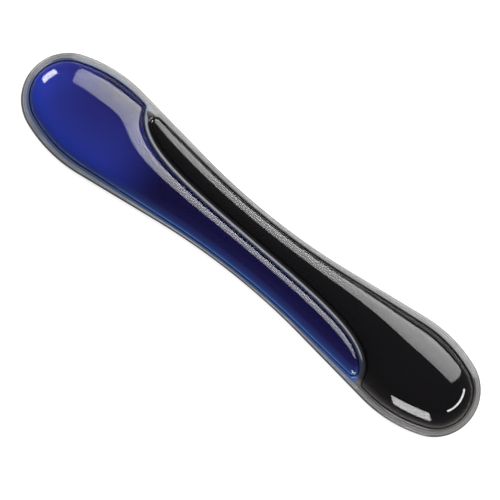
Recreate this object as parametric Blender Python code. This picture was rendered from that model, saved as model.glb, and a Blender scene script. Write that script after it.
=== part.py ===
# Gel wrist rest for a keyboard: a waisted, two-colour gel cushion on a flat base.
#
# Frame: +X along the length, towards the smoke-coloured end.  +Y away from the user,
# towards the keyboard.  +Z up.  The origin is on the desk, under the middle of the rest.
#
# From the desk up: rubber pad, adhesive sheet, base plate, backing film, two gel
# pockets lying side by side along an S-shaped seam, one clear skin formed over both,
# and a small printed mark on the skin at the smoke end.

import math

import bmesh
import bpy
import numpy as np
from mathutils import Vector
from mathutils.bvhtree import BVHTree
from mathutils.geometry import delaunay_2d_cdt

MM = 0.001

# ---- outline of the base, symmetric about both axes -------------------------------
HALF_LENGTH = 233.5 * MM
WAIST_HALF = 28.8 * MM
WAIST_RADIUS = 590.0 * MM
BULB_X = 166.0 * MM           # where the two ends are widest
BULB_HALF = 44.4 * MM
BULB_RADIUS = 120.0 * MM

# ---- line where the gel walls rise; the rim is wider round the ends than at the waist
RIM_AT_WAIST = 3.7 * MM
RIM_AT_BULB = 6.4 * MM
WALL_WAIST_RADIUS = 700.0 * MM
WALL_BULB_X = 164.0 * MM
WAIST_SHIFT = 0.5 * MM        # at the waist the gels sit this much nearer to the user
WAIST_SHIFT_FULL = 60.0 * MM  # half the length over which they do
WAIST_SHIFT_FADE = 70.0 * MM

# ---- S-shaped seam between the two gels: a curve, and the same curve turned half round
SEAM_SHIFT = 2.5 * MM         # the seam runs a little nearer to the keyboard side
SEAM_PULL_X = 85.0 * MM
SEAM_PULL_Y = 3.4 * MM
SEAM_TURN_X = 139.0 * MM
SEAM_TURN_Y = 4.5 * MM
SEAM_END_Y = 42.0 * MM
WEB_HALF = 2.6 * MM           # half the valley of skin between the two gel walls
TIP_RADIUS = 5.0 * MM         # rounded tip of each gel's long finger
WEDGE_RADIUS = 4.2 * MM       # corner of each gel beside the other gel's tip

# ---- heights above the desk -------------------------------------------------------
PAD_TOP = 1.0 * MM
ADHESIVE_THICKNESS = 0.2 * MM
PLATE_THICKNESS = 1.2 * MM
BACKING_THICKNESS = 0.2 * MM
RIM_EDGE_THICKNESS = 0.8 * MM
RIM_RISE = 1.6 * MM           # the rim slopes up from its outer edge to the gel wall
RIM_RUN = 6.4 * MM            # distance in from the edge where that slope ends
SEAM_RAISE = 0.8 * MM         # the valley along the seam lies higher than the rim
SEAM_START = 5.0 * MM         # distance in from the edge where the valley starts to rise
SEAM_RUN = 10.0 * MM
FILLET_RISE = 1.0 * MM
FILLET_RUN = 1.2 * MM
WALL_HEIGHT = 1.7 * MM        # rounded shoulder of the gel wall
TOTAL_HEIGHT = 21.0 * MM

# ---- how far each layer lies inside the outline ------------------------------------
BACKING_INSET = 0.45 * MM
SKIN_INSET = 0.9 * MM
PAD_INSET = 2.0 * MM
ADHESIVE_INSET = 3.0 * MM

GAP = 0.3 * MM                # clearance between pieces that touch
SKIN_THICKNESS = 0.6 * MM
PLATE_CHAMFER = 0.4 * MM
PAD_CHAMFER = 0.3 * MM

# ---- printed mark: one plain arc, round the smoke end ------------------------------
MARK_CENTRE_X = 192.5 * MM
MARK_CENTRE_Y = 3.5 * MM
MARK_RADIUS = 22.0 * MM
MARK_HALF_ANGLE = math.radians(32.0)
MARK_WIDTH = 1.8 * MM
MARK_THICKNESS = 0.15 * MM
MARK_STEPS = 12

# ---- fineness of the mesh ----------------------------------------------------------
DENSE_STEP = 0.5 * MM         # spacing of the construction curves
CHORD_SAG = 0.14 * MM         # how far a straight edge may stray from the curve
LONGEST_EDGE = 9.0 * MM
GRID_STEP = 9.5 * MM          # spacing of the points inside each gel's outline
SHOULDER_RINGS = (0.0, 0.5 * MM, 1.8 * MM)
SMOOTH_ANGLE = math.radians(40.0)

ADHESIVE_BOTTOM = PAD_TOP + GAP
PLATE_BOTTOM = ADHESIVE_BOTTOM + ADHESIVE_THICKNESS + GAP
BACKING_BOTTOM = PLATE_BOTTOM + PLATE_THICKNESS + GAP
SKIN_BOTTOM = BACKING_BOTTOM + BACKING_THICKNESS + GAP
RIM_EDGE_TOP = SKIN_BOTTOM + RIM_EDGE_THICKNESS
SHOULDER_WIDTH = SHOULDER_RINGS[-1]


# ---- curves in plan ----------------------------------------------------------------

def arc(centre, radius, start, end):
    """Points along an arc, both ends included."""
    steps = max(2, math.ceil(abs(end - start) * radius / DENSE_STEP))
    angles = np.linspace(start, end, steps + 1)
    return np.column_stack((centre[0] + radius * np.cos(angles), centre[1] + radius * np.sin(angles)))


def waisted_outline(half_length, waist_half, waist_radius, bulb_x, bulb_half, bulb_radius):
    """Closed counter-clockwise outline of a concave waist between two rounded ends."""
    reach = half_length - bulb_x
    drop = bulb_radius - bulb_half
    end_radius = (bulb_radius ** 2 - reach ** 2 - drop ** 2) / (2 * (bulb_radius - reach))
    end_x = half_length - end_radius
    join = math.atan2(drop, end_x - bulb_x)
    rise = waist_half + waist_radius + drop
    spread = math.acos((waist_radius + bulb_radius) / math.hypot(bulb_x, rise))
    tilt = math.atan2(bulb_x, rise) - spread
    quarter = np.vstack((
        arc((end_x, 0.0), end_radius, 0.0, join),
        arc((bulb_x, -drop), bulb_radius, join, math.pi / 2 + tilt),
        arc((0.0, waist_half + waist_radius), waist_radius, tilt - math.pi / 2, -math.pi / 2),
    ))
    far_left = quarter[::-1] * (-1.0, 1.0)
    near = (quarter * (-1.0, -1.0), quarter[::-1] * (1.0, -1.0))
    return respace(np.vstack((quarter, far_left) + near), DENSE_STEP)


def respace(loop, step):
    """A closed loop with its points evenly spaced."""
    closed = np.vstack((loop, loop[:1]))
    lengths = np.hypot(*np.diff(closed, axis=0).T)
    along = np.concatenate(([0.0], np.cumsum(lengths)))
    count = round(along[-1] / step)
    places = np.arange(count) * along[-1] / count
    return np.column_stack([np.interp(places, along, closed[:, axis]) for axis in (0, 1)])


def seam_curve():
    """The seam, from the keyboard side at the gel end to the user's side at the other."""
    t = np.linspace(0.0, 1.0, 600)[:, None]
    pull = np.array((SEAM_PULL_X, SEAM_PULL_Y))
    turn = np.array((SEAM_TURN_X, SEAM_TURN_Y))
    end = np.array((SEAM_TURN_X, SEAM_END_Y))
    half = 3 * (1 - t) ** 2 * t * pull + 3 * (1 - t) * t ** 2 * turn + t ** 3 * end
    left = half[:0:-1] * (-1.0, 1.0)
    right = half * (1.0, -1.0)
    return np.vstack((left, right)) + (0.0, SEAM_SHIFT)


def offset(points, distance, closed=True):
    """The curve moved to its left, which is inwards on a counter-clockwise loop."""
    if closed:
        tangent = np.roll(points, -1, axis=0) - np.roll(points, 1, axis=0)
    else:
        tangent = np.gradient(points, axis=0)
    tangent = tangent / np.hypot(*tangent.T)[:, None]
    return points + distance * np.column_stack((-tangent[:, 1], tangent[:, 0]))


def nearest_pair(first, second, start, stop):
    """Indices where two curves come closest, with the first limited to a stretch."""
    part = first[start:stop]
    gaps = np.hypot(part[:, None, 0] - second[None, :, 0], part[:, None, 1] - second[None, :, 1])
    row, column = np.unravel_index(np.argmin(gaps), gaps.shape)
    return start + row, column


def corner_arc(centre, start_point, end_point, radius):
    """Counter-clockwise arc round a centre, from one point's direction to another's."""
    start = math.atan2(*(start_point - centre)[::-1])
    end = math.atan2(*(end_point - centre)[::-1])
    if end < start:
        end += 2 * math.pi
    return arc(centre, radius, start, end)


def pocket_outline(wall, seam):
    """Wall line of one gel: the seam on one side, the rim on the rest, round corners."""
    edge = offset(seam, WEB_HALF, closed=False)
    middle = len(edge) // 2
    corners = []
    for radius, start, stop in ((TIP_RADIUS, 0, middle), (WEDGE_RADIUS, middle, len(edge))):
        edge_inner = offset(edge, radius, closed=False)
        wall_inner = offset(wall, radius)
        on_edge, on_wall = nearest_pair(edge_inner, wall_inner, start, stop)
        corners.append((radius, on_edge, on_wall, edge_inner[on_edge]))
    (tip_radius, tip_edge, tip_wall, tip_centre), (wedge_radius, wedge_edge, wedge_wall, wedge_centre) = corners
    rim = np.roll(wall, -wedge_wall, axis=0)[:(tip_wall - wedge_wall) % len(wall)]
    return respace(np.vstack((
        corner_arc(tip_centre, wall[tip_wall], edge[tip_edge], tip_radius),
        edge[tip_edge:wedge_edge],
        corner_arc(wedge_centre, edge[wedge_edge], wall[wedge_wall], wedge_radius),
        rim,
    )), DENSE_STEP)


def corners_of(loop):
    """Indices to keep: long edges where the loop is nearly straight, short ones in bends."""
    kept = []
    start = 0
    while start < len(loop):
        kept.append(start)
        stop = start + 1
        while stop + 1 <= len(loop):
            ahead = loop[(stop + 1) % len(loop)]
            chord = ahead - loop[start]
            length = math.hypot(*chord)
            between = loop[start + 1:stop + 1] - loop[start]
            sag = np.abs(between[:, 0] * chord[1] - between[:, 1] * chord[0]) / length
            if length > LONGEST_EDGE or sag.max() > CHORD_SAG:
                break
            stop += 1
        start = stop
    return kept


def inside(points, loop):
    """Which points lie inside a closed loop."""
    x, y = points[:, 0, None], points[:, 1, None]
    x0, y0 = loop.T
    x1, y1 = np.roll(loop, -1, axis=0).T
    spans = (y0 > y) != (y1 > y)
    rise = np.where(y1 == y0, 1.0, y1 - y0)
    crosses = spans & (x < x0 + (y - y0) * (x1 - x0) / rise)
    return crosses.sum(axis=1) % 2 == 1


def smooth_step(value):
    """0 below 0, 1 above 1, and a smooth rise between."""
    value = np.clip(value, 0.0, 1.0)
    return value * value * (3 - 2 * value)


def valley_height(points, outline):
    """Height of the skin round the gels: a sloping rim, and a raised valley at the seam."""
    gaps = np.hypot(points[:, None, 0] - outline[None, :, 0], points[:, None, 1] - outline[None, :, 1])
    depth = gaps.min(axis=1)
    rim = RIM_RISE * smooth_step(depth / RIM_RUN)
    seam = SEAM_RAISE * smooth_step((depth - SEAM_START) / SEAM_RUN)
    return RIM_EDGE_TOP + rim + seam


# ---- the crowned top of a gel ------------------------------------------------------

def hex_grid(loop):
    """Points of a triangular grid that are well inside a loop."""
    low, high = loop.min(axis=0), loop.max(axis=0)
    row_step = GRID_STEP * math.sqrt(3) / 2
    points = []
    for row, y in enumerate(np.arange(low[1], high[1], row_step)):
        for x in np.arange(low[0] + (row % 2) * GRID_STEP / 2, high[0], GRID_STEP):
            points.append((x, y))
    points = np.array(points)
    points = points[inside(points, loop)]
    gaps = np.hypot(points[:, None, 0] - loop[None, :, 0], points[:, None, 1] - loop[None, :, 1])
    return points[gaps.min(axis=1) > 0.45 * GRID_STEP]


def membrane(points, triangles, edge_heights):
    """A membrane held at given heights along its first points.

    Returns how far an even load lifts it, and its height without any load.
    """
    fixed = len(edge_heights)
    stiffness = np.zeros((len(points), len(points)))
    load = np.zeros(len(points))
    for triangle in triangles:
        a, b, c = (points[index] for index in triangle)
        double_area = abs((b[0] - a[0]) * (c[1] - a[1]) - (b[1] - a[1]) * (c[0] - a[0]))
        load[list(triangle)] += double_area / 6
        opposite = (c - b, a - c, b - a)
        for row in range(3):
            for column in range(3):
                weight = opposite[row].dot(opposite[column]) / (2 * double_area)
                stiffness[triangle[row], triangle[column]] += weight
    pull = -stiffness[fixed:, :fixed] @ edge_heights
    solved = np.linalg.solve(stiffness[fixed:, fixed:], np.column_stack((load[fixed:], pull)))
    rise = np.concatenate((np.zeros(fixed), solved[:, 0]))
    base = np.concatenate((edge_heights, solved[:, 1]))
    return rise, base


def crowned_sheet(loop, outline):
    """The outer surface over one gel: its points, normals, triangles and foot count.

    The first points, as many as the count says, are the foot of the wall.
    """
    kept = corners_of(loop)
    count = len(kept)
    rings = [offset(loop, inset)[kept] for inset in SHOULDER_RINGS]
    inner = rings[-1]
    grid = hex_grid(inner)
    flat = [Vector(point) for point in np.vstack((inner, grid))]
    ring_edges = [(index, (index + 1) % count) for index in range(count)]
    found = delaunay_2d_cdt(flat, ring_edges, [], 0, 1e-7)
    places, faces = np.array([tuple(point) for point in found[0]]), np.array(found[2])
    faces = faces[inside(places[faces].mean(axis=1), inner)]
    first_inner = count * (len(rings) - 1)
    triangles = [tuple(first_inner + index for index in face) for face in faces]
    for ring in range(len(rings) - 1):
        for index in range(count):
            after = (index + 1) % count
            a, b = ring * count + index, ring * count + after
            triangles += [(a, b, b + count), (a, b + count, a + count)]
    plan = np.vstack(rings[:-1] + [places])
    rise, base = membrane(plan, triangles, valley_height(rings[0], outline))
    insets = np.full(len(plan), SHOULDER_WIDTH)
    insets[:first_inner] = np.repeat(SHOULDER_RINGS[:-1], count)
    shoulder = np.sqrt(1 - (1 - insets / SHOULDER_WIDTH) ** 2)
    low = base + FILLET_RISE + WALL_HEIGHT * shoulder
    crown = np.sqrt(rise / rise.max())
    crown_height = ((TOTAL_HEIGHT - low[count:]) / crown[count:]).min()
    points = np.column_stack((plan, low + crown_height * crown))
    return points, sheet_normals(points, triangles, count), triangles, count


def sheet_normals(points, triangles, count):
    """Outward direction at each point; level along the foot of the wall."""
    corners = points[np.array(triangles)]
    faces = np.cross(corners[:, 1] - corners[:, 0], corners[:, 2] - corners[:, 0])
    normals = np.zeros_like(points)
    for corner in range(3):
        np.add.at(normals, np.array(triangles)[:, corner], faces)
    normals[:count, 2] = 0.0
    return normals / np.linalg.norm(normals, axis=1)[:, None]


# ---- meshes ------------------------------------------------------------------------

class Builder:
    """Collects points and faces of one closed piece."""

    def __init__(self):
        self.mesh = bmesh.new()

    def points(self, places):
        return [self.mesh.verts.new(place) for place in places]

    def level_points(self, loop, height):
        return self.points([(x, y, height) for x, y in loop])

    def band(self, lower, upper):
        for index in range(len(lower)):
            after = (index + 1) % len(lower)
            self.mesh.faces.new((lower[index], lower[after], upper[after], upper[index]))

    def sheet(self, vertices, triangles):
        for triangle in triangles:
            self.mesh.faces.new([vertices[index] for index in triangle])

    def fill(self, *loops):
        """Fills the flat area between an outer loop and any loops inside it."""
        edges = []
        for loop in loops:
            for index in range(len(loop)):
                pair = (loop[index], loop[(index + 1) % len(loop)])
                edges.append(self.mesh.edges.get(pair) or self.mesh.edges.new(pair))
        bmesh.ops.triangle_fill(self.mesh, use_beauty=True, edges=edges, normal=(0, 0, 1))

    def finish(self, name, material):
        bmesh.ops.recalc_face_normals(self.mesh, faces=self.mesh.faces)
        data = bpy.data.meshes.new(name)
        self.mesh.to_mesh(data)
        self.mesh.free()
        data.materials.append(material)
        data.shade_smooth()
        data.set_sharp_from_angle(angle=SMOOTH_ANGLE)
        piece = bpy.data.objects.new(name, data)
        bpy.context.scene.collection.objects.link(piece)
        return piece


def slab(name, material, loop, bottom, top, bottom_chamfer=0.0, top_chamfer=0.0):
    """A flat sheet with the given outline, with an optional chamfer on either edge."""
    build = Builder()
    levels = [(bottom_chamfer, bottom), (0.0, bottom + bottom_chamfer), (0.0, top - top_chamfer), (top_chamfer, top)]
    if not bottom_chamfer:
        levels.pop(0)
    if not top_chamfer:
        levels.pop()
    rings = [build.level_points(offset(loop, inset), height) for inset, height in levels]
    for lower, upper in zip(rings, rings[1:]):
        build.band(lower, upper)
    build.fill(rings[0])
    build.fill(rings[-1])
    return build.finish(name, material)


def gel(name, material, sheet):
    """Solid gel, one film thickness and one gap inside the skin's outer surface."""
    points, normals, triangles, count = sheet
    surface = points - normals * (SKIN_THICKNESS + GAP)
    build = Builder()
    top = build.points(surface)
    base = build.level_points(surface[:count, :2], SKIN_BOTTOM)
    build.sheet(top, triangles)
    build.band(base, top[:count])
    build.fill(base)
    return build.finish(name, material)


def skin(name, material, outline, edge_loop, sheets):
    """One formed film: a sloping rim, a strip along the seam and two hollow domes."""
    build = Builder()
    edge_bottom = build.level_points(edge_loop, SKIN_BOTTOM)
    edge_top = build.level_points(edge_loop, RIM_EDGE_TOP)
    build.band(edge_bottom, edge_top)
    feet = []
    mouths = []
    for points, normals, triangles, count in sheets:
        outside = build.points(points)
        build.sheet(outside, triangles)
        foot_places = (points + normals * FILLET_RUN)[:count]
        foot_places[:, 2] = valley_height(foot_places[:, :2], outline)
        foot = build.points(foot_places)
        build.band(foot, outside[:count])
        feet.append(foot)
        hollow = points - normals * SKIN_THICKNESS
        lining = build.points(hollow)
        build.sheet(lining, [triangle[::-1] for triangle in triangles])
        mouth = build.level_points(hollow[:count, :2], SKIN_BOTTOM)
        build.band(lining[:count], mouth)
        mouths.append(mouth)
    build.fill(edge_top, *feet)
    build.fill(edge_bottom, *mouths)
    return build.finish(name, material)


def printed_mark(name, material, under):
    """A thin printed arc that follows the surface under it."""
    surface = BVHTree.FromPolygons([vertex.co for vertex in under.vertices], [face.vertices for face in under.polygons])
    build = Builder()
    rows = []
    for angle in np.linspace(-MARK_HALF_ANGLE, MARK_HALF_ANGLE, MARK_STEPS + 1):
        section = []
        for side in (-0.5, 0.5):
            radius = MARK_RADIUS + side * MARK_WIDTH
            x = MARK_CENTRE_X + radius * math.cos(angle)
            y = MARK_CENTRE_Y + radius * math.sin(angle)
            place, normal = surface.ray_cast(Vector((x, y, 2 * TOTAL_HEIGHT)), Vector((0, 0, -1)))[:2]
            section.append((place + normal * GAP, place + normal * (GAP + MARK_THICKNESS)))
        (inner_low, inner_high), (outer_low, outer_high) = section
        rows.append(build.points((inner_low, outer_low, outer_high, inner_high)))
    for near, far in zip(rows, rows[1:]):
        build.band(near, far)
    build.mesh.faces.new(rows[0])
    build.mesh.faces.new(rows[-1])
    return build.finish(name, material)


def finish_of(name, colour, roughness, alpha=1.0):
    """A Principled material in one colour."""
    material = bpy.data.materials.new(name)
    material.use_nodes = True
    shader = material.node_tree.nodes["Principled BSDF"]
    shader.inputs["Base Color"].default_value = (*colour, 1.0)
    shader.inputs["Roughness"].default_value = roughness
    shader.inputs["Metallic"].default_value = 0.0
    shader.inputs["Alpha"].default_value = alpha
    material.diffuse_color = (*colour, alpha)
    return material


def main():
    for old in list(bpy.data.objects):
        bpy.data.objects.remove(old, do_unlink=True)

    outline = waisted_outline(HALF_LENGTH, WAIST_HALF, WAIST_RADIUS, BULB_X, BULB_HALF, BULB_RADIUS)
    wall = waisted_outline(
        HALF_LENGTH - RIM_AT_BULB, WAIST_HALF - RIM_AT_WAIST, WALL_WAIST_RADIUS,
        WALL_BULB_X, BULB_HALF - RIM_AT_BULB, BULB_RADIUS - RIM_AT_BULB,
    )
    at_waist = 1 - smooth_step((np.abs(wall[:, 0]) - WAIST_SHIFT_FULL) / WAIST_SHIFT_FADE)
    wall[:, 1] -= WAIST_SHIFT * at_waist
    seam = seam_curve()
    blue_sheet = crowned_sheet(pocket_outline(wall, seam[::-1]), outline)
    smoke_sheet = crowned_sheet(pocket_outline(wall, seam), outline)
    edge = outline[corners_of(outline)]

    rubber = finish_of("pad_rubber", (0.018, 0.018, 0.019), 0.8)
    adhesive = finish_of("adhesive_film", (0.62, 0.6, 0.54), 0.55)
    smoky_plastic = finish_of("smoky_plastic", (0.09, 0.088, 0.085), 0.25)
    film = finish_of("backing_film", (0.2, 0.2, 0.205), 0.35)
    blue = finish_of("blue_gel", (0.021, 0.026, 0.18), 0.12)
    smoke = finish_of("smoke_gel", (0.0095, 0.008, 0.0095), 0.12)
    clear = finish_of("clear_film", (0.5, 0.5, 0.52), 0.08, alpha=0.35)
    ink = finish_of("white_ink", (0.8, 0.8, 0.8), 0.4)

    slab("non_slip_pad", rubber, offset(edge, PAD_INSET), 0.0, PAD_TOP, bottom_chamfer=PAD_CHAMFER)
    slab(
        "pad_adhesive", adhesive, offset(edge, ADHESIVE_INSET),
        ADHESIVE_BOTTOM, ADHESIVE_BOTTOM + ADHESIVE_THICKNESS,
    )
    slab(
        "base_plate", smoky_plastic, edge,
        PLATE_BOTTOM, PLATE_BOTTOM + PLATE_THICKNESS, top_chamfer=PLATE_CHAMFER,
    )
    slab(
        "backing_film", film, offset(edge, BACKING_INSET),
        BACKING_BOTTOM, BACKING_BOTTOM + BACKING_THICKNESS,
    )
    gel("blue_gel", blue, blue_sheet)
    gel("smoke_gel", smoke, smoke_sheet)
    cover = skin("clear_skin", clear, outline, offset(edge, SKIN_INSET), (blue_sheet, smoke_sheet))
    printed_mark("end_mark", ink, cover.data)


main()
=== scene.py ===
import math

import bpy
import numpy as np
from mathutils import Matrix, Vector
from mathutils.geometry import delaunay_2d_cdt


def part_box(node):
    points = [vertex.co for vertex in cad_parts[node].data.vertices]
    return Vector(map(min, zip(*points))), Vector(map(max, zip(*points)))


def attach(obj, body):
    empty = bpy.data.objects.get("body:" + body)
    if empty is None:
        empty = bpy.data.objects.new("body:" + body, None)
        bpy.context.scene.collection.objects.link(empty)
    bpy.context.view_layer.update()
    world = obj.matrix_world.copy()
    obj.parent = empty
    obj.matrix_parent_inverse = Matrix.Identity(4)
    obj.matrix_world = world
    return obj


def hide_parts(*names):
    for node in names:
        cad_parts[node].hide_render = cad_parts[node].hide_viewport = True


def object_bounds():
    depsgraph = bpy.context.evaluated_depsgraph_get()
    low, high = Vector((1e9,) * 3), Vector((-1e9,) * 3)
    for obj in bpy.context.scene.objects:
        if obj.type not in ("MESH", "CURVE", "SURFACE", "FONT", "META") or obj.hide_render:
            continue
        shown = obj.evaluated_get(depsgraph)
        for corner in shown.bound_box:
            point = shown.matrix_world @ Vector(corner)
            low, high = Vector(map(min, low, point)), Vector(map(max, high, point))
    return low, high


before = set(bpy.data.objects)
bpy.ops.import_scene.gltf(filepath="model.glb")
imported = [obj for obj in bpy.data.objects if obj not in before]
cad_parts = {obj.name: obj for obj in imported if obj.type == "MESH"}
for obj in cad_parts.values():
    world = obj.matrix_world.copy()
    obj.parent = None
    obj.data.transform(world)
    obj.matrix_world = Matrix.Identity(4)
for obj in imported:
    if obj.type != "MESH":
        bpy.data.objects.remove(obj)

cadLow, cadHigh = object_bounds()
mm = 0.001
lineStep = 0.5 * mm

# Gel wrist rest: two gel pockets along an S-shaped seam, under one formed film, on a flat base.
# +X runs to the smoke end, +Y to the keyboard, +Z up, all in metres.

restShape = {
    "halfLength": cadHigh.x, "waistHalf": 28.8 * mm, "waistRadius": 590 * mm,
    "bulbX": 166 * mm, "bulbHalf": cadHigh.y, "bulbRadius": 120 * mm,
    "rimAtWaist": 3.7 * mm, "rimAtBulb": 6.4 * mm, "wallWaistRadius": 700 * mm, "wallBulbX": 164 * mm,
    # the gels sit this much nearer the user at the waist, in full for a stretch and then fading
    "waistShift": 0.5 * mm, "shiftFull": 60 * mm, "shiftFade": 70 * mm,
}
seamShape = {
    "shift": 2.5 * mm, "pull": (85 * mm, 3.4 * mm), "turn": (139 * mm, 4.5 * mm), "endY": 42 * mm,
    "webHalf": 2.6 * mm, "tipRadius": 5 * mm, "wedgeRadius": 4.2 * mm,
}
layerHeights = {}
for layerName in ("non_slip_pad", "pad_adhesive", "base_plate", "backing_film", "clear_skin"):
    lowCorner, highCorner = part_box(layerName)
    layerHeights[layerName] = (lowCorner.z, highCorner.z)
skinBottom = layerHeights["clear_skin"][0]
restTop = layerHeights["clear_skin"][1]


# lines in plan

def arcPoints(centre, radius, start, end):
    count = max(2, math.ceil(abs(end - start) * radius / lineStep))
    angles = np.linspace(start, end, count + 1)
    return np.column_stack((centre[0] + radius * np.cos(angles), centre[1] + radius * np.sin(angles)))


def evenly(loop, step):
    closed = np.vstack((loop, loop[:1]))
    along = np.concatenate(([0.0], np.cumsum(np.hypot(*np.diff(closed, axis=0).T))))
    count = round(along[-1] / step)
    places = np.arange(count) * along[-1] / count
    return np.column_stack([np.interp(places, along, closed[:, axis]) for axis in (0, 1)])


def waistedLine(halfLength, waistHalf, waistRadius, bulbX, bulbHalf, bulbRadius):
    reach = halfLength - bulbX
    drop = bulbRadius - bulbHalf
    endRadius = (bulbRadius ** 2 - reach ** 2 - drop ** 2) / (2 * (bulbRadius - reach))
    endX = halfLength - endRadius
    join = math.atan2(drop, endX - bulbX)
    rise = waistHalf + waistRadius + drop
    tilt = math.atan2(bulbX, rise) - math.acos((waistRadius + bulbRadius) / math.hypot(bulbX, rise))
    quarter = np.vstack((
        arcPoints((endX, 0), endRadius, 0, join),
        arcPoints((bulbX, -drop), bulbRadius, join, math.pi / 2 + tilt),
        arcPoints((0, waistHalf + waistRadius), waistRadius, tilt - math.pi / 2, -math.pi / 2),
    ))
    return evenly(np.vstack((
        quarter, quarter[::-1] * (-1, 1), quarter * (-1, -1), quarter[::-1] * (1, -1),
    )), lineStep)


def seamLine():
    t = np.linspace(0, 1, 600)[:, None]
    pull, turn = np.array(seamShape["pull"]), np.array(seamShape["turn"])
    end = np.array((turn[0], seamShape["endY"]))
    half = 3 * (1 - t) ** 2 * t * pull + 3 * (1 - t) * t ** 2 * turn + t ** 3 * end
    return np.vstack((half[:0:-1] * (-1, 1), half * (1, -1))) + (0, seamShape["shift"])


def leftOf(points, closed=True):   # unit direction to the left of travel, inwards on a loop
    if closed:
        tangent = np.roll(points, -1, axis=0) - np.roll(points, 1, axis=0)
    else:
        tangent = np.gradient(points, axis=0)
    tangent = tangent / np.hypot(*tangent.T)[:, None]
    return np.column_stack((-tangent[:, 1], tangent[:, 0]))


def moved(points, distance, closed=True):
    return points + np.reshape(distance, (-1, 1)) * leftOf(points, closed)


def nearestPair(first, second, start, stop):
    part = first[start:stop]
    gaps = np.hypot(part[:, None, 0] - second[None, :, 0], part[:, None, 1] - second[None, :, 1])
    row, column = np.unravel_index(np.argmin(gaps), gaps.shape)
    return start + row, column


def cornerArc(centre, startPoint, endPoint, radius):
    start = math.atan2(*(startPoint - centre)[::-1])
    end = math.atan2(*(endPoint - centre)[::-1])
    if end < start:
        end += 2 * math.pi
    return arcPoints(centre, radius, start, end)


def pocketLine(wall, seam):        # the foot of one gel's wall: seam, rim and two round corners
    edge = moved(seam, seamShape["webHalf"], closed=False)
    middle = len(edge) // 2
    corners = []
    for name, start, stop in (("tipRadius", 0, middle), ("wedgeRadius", middle, len(edge))):
        radius = seamShape[name]
        edgeInner = moved(edge, radius, closed=False)
        onEdge, onWall = nearestPair(edgeInner, moved(wall, radius), start, stop)
        corners.append((radius, onEdge, onWall, edgeInner[onEdge]))
    (tipRadius, tipEdge, tipWall, tipCentre), (wedgeRadius, wedgeEdge, wedgeWall, wedgeCentre) = corners
    rim = np.roll(wall, -wedgeWall, axis=0)[:(tipWall - wedgeWall) % len(wall)]
    return evenly(np.vstack((
        cornerArc(tipCentre, wall[tipWall], edge[tipEdge], tipRadius),
        edge[tipEdge:wedgeEdge],
        cornerArc(wedgeCentre, edge[wedgeEdge], wall[wedgeWall], wedgeRadius),
        rim,
    )), lineStep)


def insideLoop(points, loop):
    x, y = points[:, 0, None], points[:, 1, None]
    x0, y0 = loop.T
    x1, y1 = np.roll(loop, -1, axis=0).T
    rise = np.where(y1 == y0, 1, y1 - y0)
    crosses = ((y0 > y) != (y1 > y)) & (x < x0 + (y - y0) * (x1 - x0) / rise)
    return crosses.sum(axis=1) % 2 == 1


def gapTo(points, line):           # distance to the nearest point of a line, and which one it is
    gaps, nearest = [], []
    for start in range(0, len(points), 2000):
        part = points[start:start + 2000]
        distance = np.hypot(part[:, None, 0] - line[None, :, 0], part[:, None, 1] - line[None, :, 1])
        nearest.append(distance.argmin(axis=1))
        gaps.append(distance.min(axis=1))
    return np.concatenate(gaps), np.concatenate(nearest)


def smoothStep(value):
    value = np.clip(value, 0, 1)
    return value * value * (3 - 2 * value)


outline = waistedLine(*[restShape[key] for key in (
    "halfLength", "waistHalf", "waistRadius", "bulbX", "bulbHalf", "bulbRadius")])
wallLine = waistedLine(
    restShape["halfLength"] - restShape["rimAtBulb"], restShape["waistHalf"] - restShape["rimAtWaist"],
    restShape["wallWaistRadius"], restShape["wallBulbX"], restShape["bulbHalf"] - restShape["rimAtBulb"],
    restShape["bulbRadius"] - restShape["rimAtBulb"],
)
atWaist = 1 - smoothStep((np.abs(wallLine[:, 0]) - restShape["shiftFull"]) / restShape["shiftFade"])
wallLine[:, 1] -= restShape["waistShift"] * atWaist
seam = seamLine()
pocketLines = {"blue": pocketLine(wallLine, seam[::-1]), "smoke": pocketLine(wallLine, seam)}
print("outline, wall and seam lines drawn")


# the height of the film outside the gels

rimForm = {
    "edgeInset": 0.9 * mm,      # the film starts this far in from the plate's edge
    "edgeTop": 4.4 * mm,
    "slope": 0.30, "run": 6.5 * mm, "levelling": 0.8,   # sloping rim, level again past its run
    "seamRaise": 0.5 * mm, "seamStart": 5 * mm, "seamRun": 10 * mm,
    "webSlope": 0.35, "webReach": 3.6 * mm,     # the strip between the gels leans to the smoke side
    "filletAtRim": 1.3 * mm, "filletAtSeam": 2.0 * mm, "filletRings": 7,
    "filletStart": 7 * mm, "filletSpan": 8 * mm,            # where it widens, in from the outline
    "lining": 0.6 * mm,         # film thickness over the gels
    "outerRings": [value * mm for value in (0.8, 1.4, 2.0, 2.7, 3.5, 4.4)],
    "gridPitch": 1.3 * mm, "ringGap": 0.35 * mm, "gridGap": 0.6 * mm, "gridToRing": 0.8 * mm,
    # in and down at the film's edge
    "edgeSteps": ((0, -0.2 * mm), (0.1 * mm, -0.05 * mm), (0.3 * mm, 0)),
}


def smokeSide(points):             # distance from the seam, positive towards the smoke gel
    gap, at = gapTo(points, seam)
    along = np.gradient(seam, axis=0)[at]
    offset = points - seam[at]
    return gap * np.sign(along[:, 0] * offset[:, 1] - along[:, 1] * offset[:, 0])


def rimHeight(points):
    depth = gapTo(points, outline)[0]
    share = ((depth - rimForm["edgeInset"]) / rimForm["run"]).clip(0)
    bend = rimForm["levelling"]
    levelled = share - (share - bend).clip(0) ** 2 / (4 * (1 - bend))
    rim = rimForm["slope"] * rimForm["run"] * np.where(share < 2 - bend, levelled, 1)
    inside = smoothStep((depth - rimForm["seamStart"]) / rimForm["seamRun"])
    lean = rimForm["webSlope"] * smokeSide(points).clip(-rimForm["webReach"], rimForm["webReach"])
    return rimForm["edgeTop"] + rim + (rimForm["seamRaise"] - lean) * inside


# meshes in plan

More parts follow.
